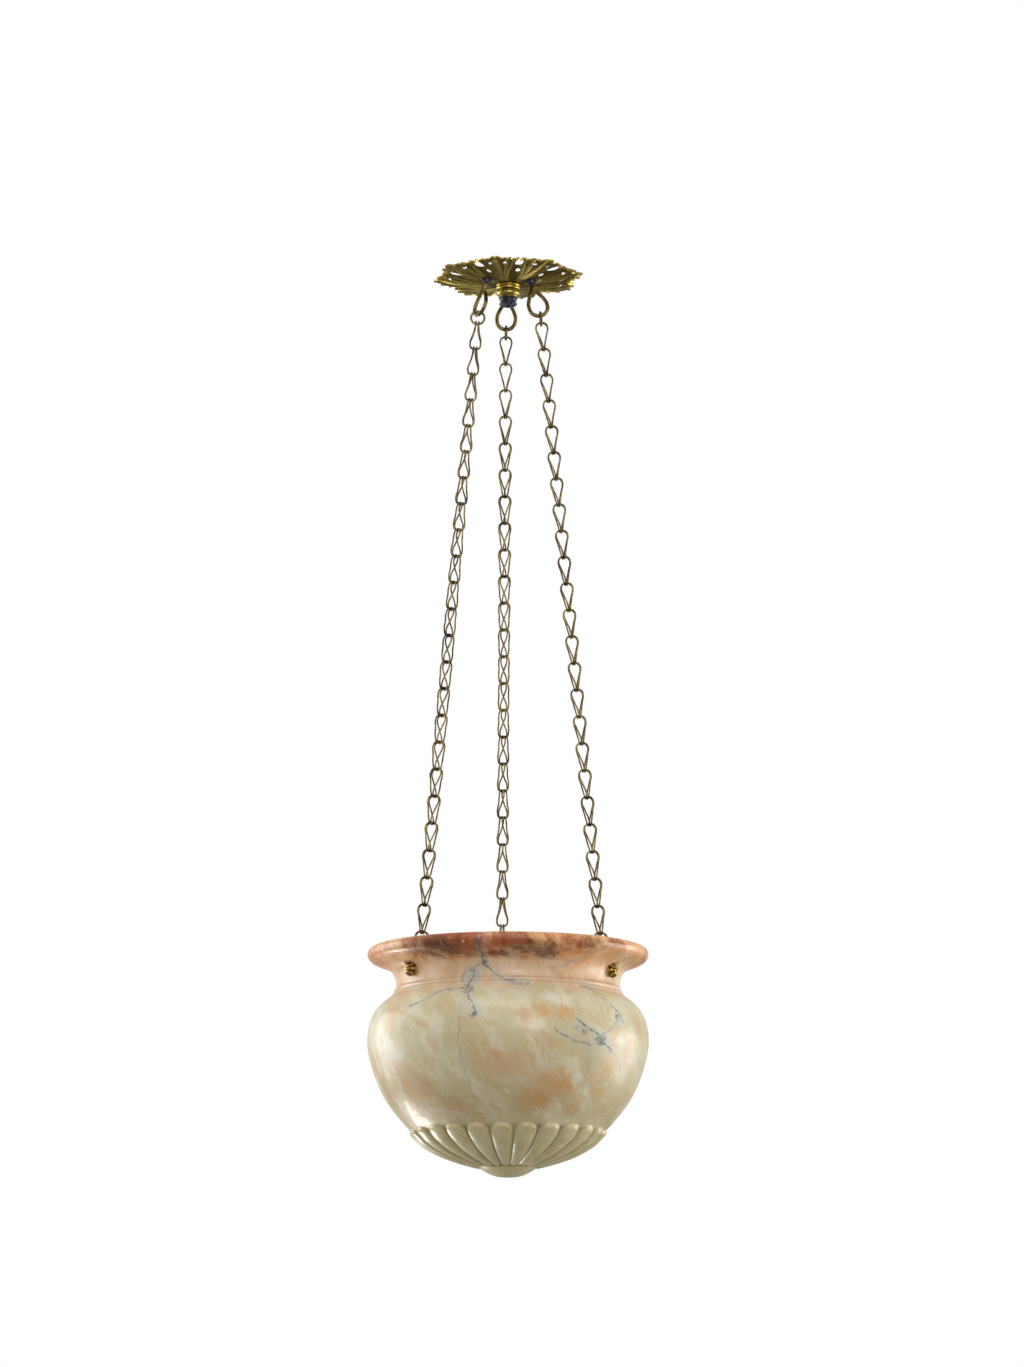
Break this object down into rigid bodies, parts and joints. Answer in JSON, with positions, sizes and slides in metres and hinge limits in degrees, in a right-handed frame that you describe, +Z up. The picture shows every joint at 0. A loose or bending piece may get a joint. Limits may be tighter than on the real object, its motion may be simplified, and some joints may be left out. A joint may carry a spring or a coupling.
{
  "type": "pendant light",
  "caption": "Carved stone bowl pendant light, hung on long link chains from a pierced leafy brass ceiling rose, with a lampholder on a bracket inside the bowl.",
  "frame": {"origin": "middle of the ceiling strap's top face, between its two screw holes, against the ceiling", "axes": "+Z up into the ceiling, -Y towards the viewer of the picture, +X to the viewer's right; the bowl hangs down -Z"},
  "size_m": [0.2808, 0.2808, 0.9285],
  "materials": {
    "alabaster": "semi-polished, veined",
    "gilt_brass": "gilt, antiqued in the recesses",
    "aged_brass": "aged, satin",
    "knob_brass": "aged, polished on the ridges",
    "dark_bronze": "dark, satin",
    "zinc_steel": "zinc plated",
    "holder_brass": "satin",
    "dark_phenolic": "moulded",
    "lamp_cap_metal": "satin",
    "opal_glass": "opal"
  },
  "bodies": {
    "rose": {"ceiling_strap": "zinc_steel", "hollow_stem": "zinc_steel", "strap_nut": "aged_brass", "ceiling_rose": "gilt_brass", "rose_collar": "gilt_brass", "outlet_bush": "dark_bronze", "hook_left": "aged_brass", "hook_right": "aged_brass", "hook_back": "aged_brass", "hook_collars": "dark_bronze", "hook_nuts": "dark_bronze"},
    "bowl": {"alabaster_bowl": "alabaster", "bowl_hook_left": "aged_brass", "bowl_hook_right": "aged_brass", "bowl_hook_back": "aged_brass", "knob_left": "knob_brass", "knob_right": "knob_brass", "knob_back": "knob_brass", "bolt_washers": "aged_brass", "bolt_nuts": "aged_brass", "lamp_bracket": "zinc_steel", "holder_stem": "zinc_steel", "holder_nut": "aged_brass", "cord_grip": "dark_phenolic", "holder_cap": "holder_brass", "holder_body": "holder_brass", "shade_ring": "dark_phenolic", "lamp_cap": "lamp_cap_metal", "lamp_glass": "opal_glass"},
    "top_ring_left": {"top_ring_left": "aged_brass"},
    "chain_left": {"chain_left": "aged_brass"},
    "foot_ring_left": {"foot_ring_left": "aged_brass"},
    "top_ring_right": {"top_ring_right": "aged_brass"},
    "chain_right": {"chain_right": "aged_brass"},
    "foot_ring_right": {"foot_ring_right": "aged_brass"},
    "top_ring_back": {"top_ring_back": "aged_brass"},
    "chain_back": {"chain_back": "aged_brass"},
    "foot_ring_back": {"foot_ring_back": "aged_brass"}
  },
  "joints": [
    {"name": "bowl_sway_sideways", "type": "hinge", "parent": "rose", "child": "top_ring_left", "pos_m": [-0.03204, -0.0185, -0.0496], "axis": [0, 1, 0], "range_deg": [-6, 6]},
    {"name": "bowl_sway_front_back", "type": "hinge", "parent": "top_ring_left", "child": "chain_left", "pos_m": [-0.03295, -0.01902, -0.05994], "axis": [1, 0, 0], "range_deg": [-6, 6]},
    {"name": "left_foot_ring_swing", "type": "hinge", "parent": "chain_left", "child": "foot_ring_left", "pos_m": [-0.08825, -0.05095, -0.692], "axis": [0, 1, 0], "range_deg": [-2.2, 2.2]},
    {"name": "bowl_on_left_foot_ring", "type": "hinge", "parent": "foot_ring_left", "child": "bowl", "pos_m": [-0.08924, -0.05152, -0.70333], "axis": [1, 0, 0], "range_deg": [-2.25, 2.25]},
    {"name": "right_top_ring_swing", "type": "hinge", "parent": "rose", "child": "top_ring_right", "pos_m": [0.03204, -0.0185, -0.0496], "axis": [0, 1, 0], "range_deg": [-6.05, 6.05]},
    {"name": "right_chain_swing", "type": "hinge", "parent": "top_ring_right", "child": "chain_right", "pos_m": [0.03235, -0.01868, -0.05312], "axis": [1, 0, 0], "range_deg": [-6.05, 6.05]},
    {"name": "right_foot_ring_swing", "type": "hinge", "parent": "chain_right", "child": "foot_ring_right", "pos_m": [0.08825, -0.05095, -0.692], "axis": [0, 1, 0], "range_deg": [-2.3, 2.3]},
    {"name": "back_top_ring_swing", "type": "hinge", "parent": "rose", "child": "top_ring_back", "pos_m": [0, 0.037, -0.0496], "axis": [0, 1, 0], "range_deg": [-6.05, 6.05]},
    {"name": "back_chain_swing", "type": "hinge", "parent": "top_ring_back", "child": "chain_back", "pos_m": [0, 0.03736, -0.05312], "axis": [1, 0, 0], "range_deg": [-6.05, 6.05]},
    {"name": "back_foot_ring_swing", "type": "hinge", "parent": "chain_back", "child": "foot_ring_back", "pos_m": [0, 0.1019, -0.692], "axis": [1, 0, 0], "range_deg": [-2.2, 2.2]}
  ],
  "couplings": [
    {"joint": "left_foot_ring_swing", "follows": "bowl_sway_sideways", "ratio": -0.36309},
    {"joint": "bowl_on_left_foot_ring", "follows": "bowl_sway_front_back", "ratio": -0.3692},
    {"joint": "right_top_ring_swing", "follows": "bowl_sway_sideways", "ratio": 1},
    {"joint": "right_chain_swing", "follows": "bowl_sway_front_back", "ratio": 0.98952},
    {"joint": "right_foot_ring_swing", "follows": "bowl_sway_sideways", "ratio": -0.36309},
    {"joint": "back_top_ring_swing", "follows": "bowl_sway_sideways", "ratio": 0.99371},
    {"joint": "back_chain_swing", "follows": "bowl_sway_front_back", "ratio": 0.99588},
    {"joint": "back_foot_ring_swing", "follows": "bowl_sway_front_back", "ratio": -0.36507}
  ]
}
